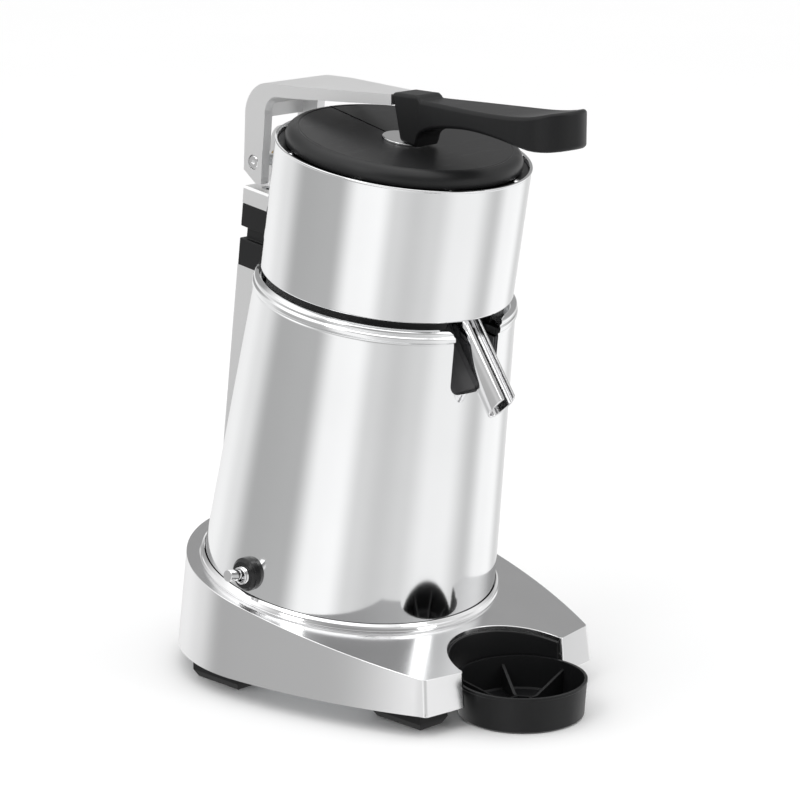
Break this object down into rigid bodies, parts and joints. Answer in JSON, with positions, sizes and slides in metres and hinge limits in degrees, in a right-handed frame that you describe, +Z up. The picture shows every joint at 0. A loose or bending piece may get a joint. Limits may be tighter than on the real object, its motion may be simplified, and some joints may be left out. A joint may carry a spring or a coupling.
{
  "type": "lever citrus press",
  "caption": "Leaning steel lever citrus press with a juice bowl and spout, pivoting press arm and lid, motor-driven cone, toggle switch and drip tray.",
  "frame": {"origin": "point on the floor straight below where the leaning body axis meets the sloping deck of the base", "axes": "+Z up, -Y towards the user (spout and lever side), X across; body axis leans 10.1 degrees towards -Y"},
  "size_m": [0.2317, 0.3335, 0.4052],
  "materials": {
    "satin_steel": "satin brushed stainless sheet",
    "polished_steel": "mirror polished stainless",
    "cast_alloy": "polished and lacquered aluminium casting",
    "zinc_steel": "zinc plated steel",
    "black_plastic": "fine-textured black moulding",
    "black_gloss": "glossy black moulding",
    "black_rubber": "matt black rubber",
    "white_plastic": "food-safe ivory moulding",
    "bronze": "sintered bronze",
    "motor_steel": "laminated motor steel",
    "grey_plastic": "grey moulding"
  },
  "bodies": {
    "stand": {"base_shell": "cast_alloy", "bottom_plate": "zinc_steel", "plate_screws": "zinc_steel", "feet": "black_rubber", "foot_screws": "zinc_steel", "foot_nuts": "zinc_steel", "skirt_ring": "polished_steel", "body_shell": "satin_steel", "motor_plate": "zinc_steel", "recess_liner": "black_plastic", "bowl_seat": "black_plastic", "seat_screws": "zinc_steel", "shaft_seal": "black_rubber", "bowl": "satin_steel", "spout": "polished_steel", "sieve_basket": "satin_steel", "splash_ring": "black_plastic", "ring_screws": "polished_steel", "column_bar": "cast_alloy", "column_bolts": "zinc_steel", "column_sleeve": "black_plastic", "hinge_block": "cast_alloy", "hinge_screws": "zinc_steel", "lug_bushing": "bronze", "stator": "motor_steel", "bell_upper": "cast_alloy", "bell_lower": "cast_alloy", "motor_studs": "zinc_steel", "bearing_upper": "polished_steel", "bearing_lower": "polished_steel", "capacitor": "grey_plastic", "capacitor_clip": "zinc_steel", "terminal_block": "white_plastic", "switch_collar": "black_gloss", "switch_bushing": "polished_steel", "switch_body": "grey_plastic", "cable_gland": "black_plastic", "gland_nut": "black_plastic"},
    "press_arm": {"arm": "cast_alloy", "pivot_pin": "zinc_steel", "pivot_screws": "polished_steel", "handle": "black_plastic", "press_spindle": "polished_steel", "lid_clip": "zinc_steel", "press_cup": "cast_alloy", "cup_nut": "zinc_steel", "lid": "black_gloss"},
    "cone_drive": {"drive_shaft": "zinc_steel", "rotor": "motor_steel", "fan": "grey_plastic", "reamer": "white_plastic"},
    "toggle": {"toggle_bat": "polished_steel"},
    "tray": {"drip_tray": "black_plastic"}
  },
  "joints": [
    {"name": "lever", "type": "hinge", "parent": "stand", "child": "press_arm", "pos_m": [0, 0.06339, 0.34428], "axis": [-1, 0, 0], "range_deg": [0, 80]},
    {"name": "cone_spin", "type": "hinge", "parent": "stand", "child": "cone_drive", "pos_m": [0, 0, 0.0655], "axis": [0, -0.1754, 0.9845], "continuous": true},
    {"name": "switch_toggle", "type": "hinge", "parent": "stand", "child": "toggle", "pos_m": [-0.10304, -0.00599, 0.08373], "axis": [0, -0.9845, -0.1754], "range_deg": [0, 20]},
    {"name": "tray_pull", "type": "slide", "parent": "stand", "child": "tray", "axis": [0, -1, 0], "range_m": [0, 0.1]}
  ]
}
